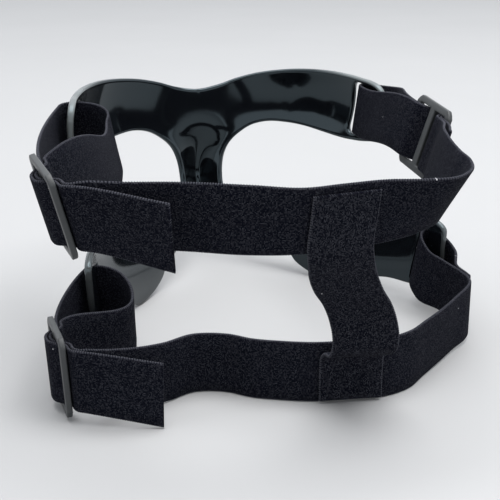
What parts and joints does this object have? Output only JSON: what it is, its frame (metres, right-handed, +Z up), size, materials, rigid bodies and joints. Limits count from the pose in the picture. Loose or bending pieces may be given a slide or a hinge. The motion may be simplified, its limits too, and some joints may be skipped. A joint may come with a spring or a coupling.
{
  "type": "nose guard",
  "caption": "Moulded glossy face shell that shields the nose, with brow and cheek arms, held by black elastic head straps with sliders and a rear link strap.",
  "frame": {"origin": "middle of the footprint's bounding box, on the table that the guard lies on", "axes": "+Z up, -Y the way the wearer's nose points, +X to the wearer's left"},
  "size_m": [0.2018, 0.2422, 0.102],
  "materials": {
    "shell": "polished black moulded plastic",
    "elastic": "black knitted elastic with picot edges",
    "slider": "satin dark grey moulded plastic"
  },
  "bodies": {
    "root": {"mask_shell": "shell", "upper_strap": "elastic", "slider_upper_left": "slider", "slider_upper_right": "slider", "lower_strap": "elastic", "slider_lower_left": "slider", "link_strap": "elastic"}
  },
  "joints": []
}
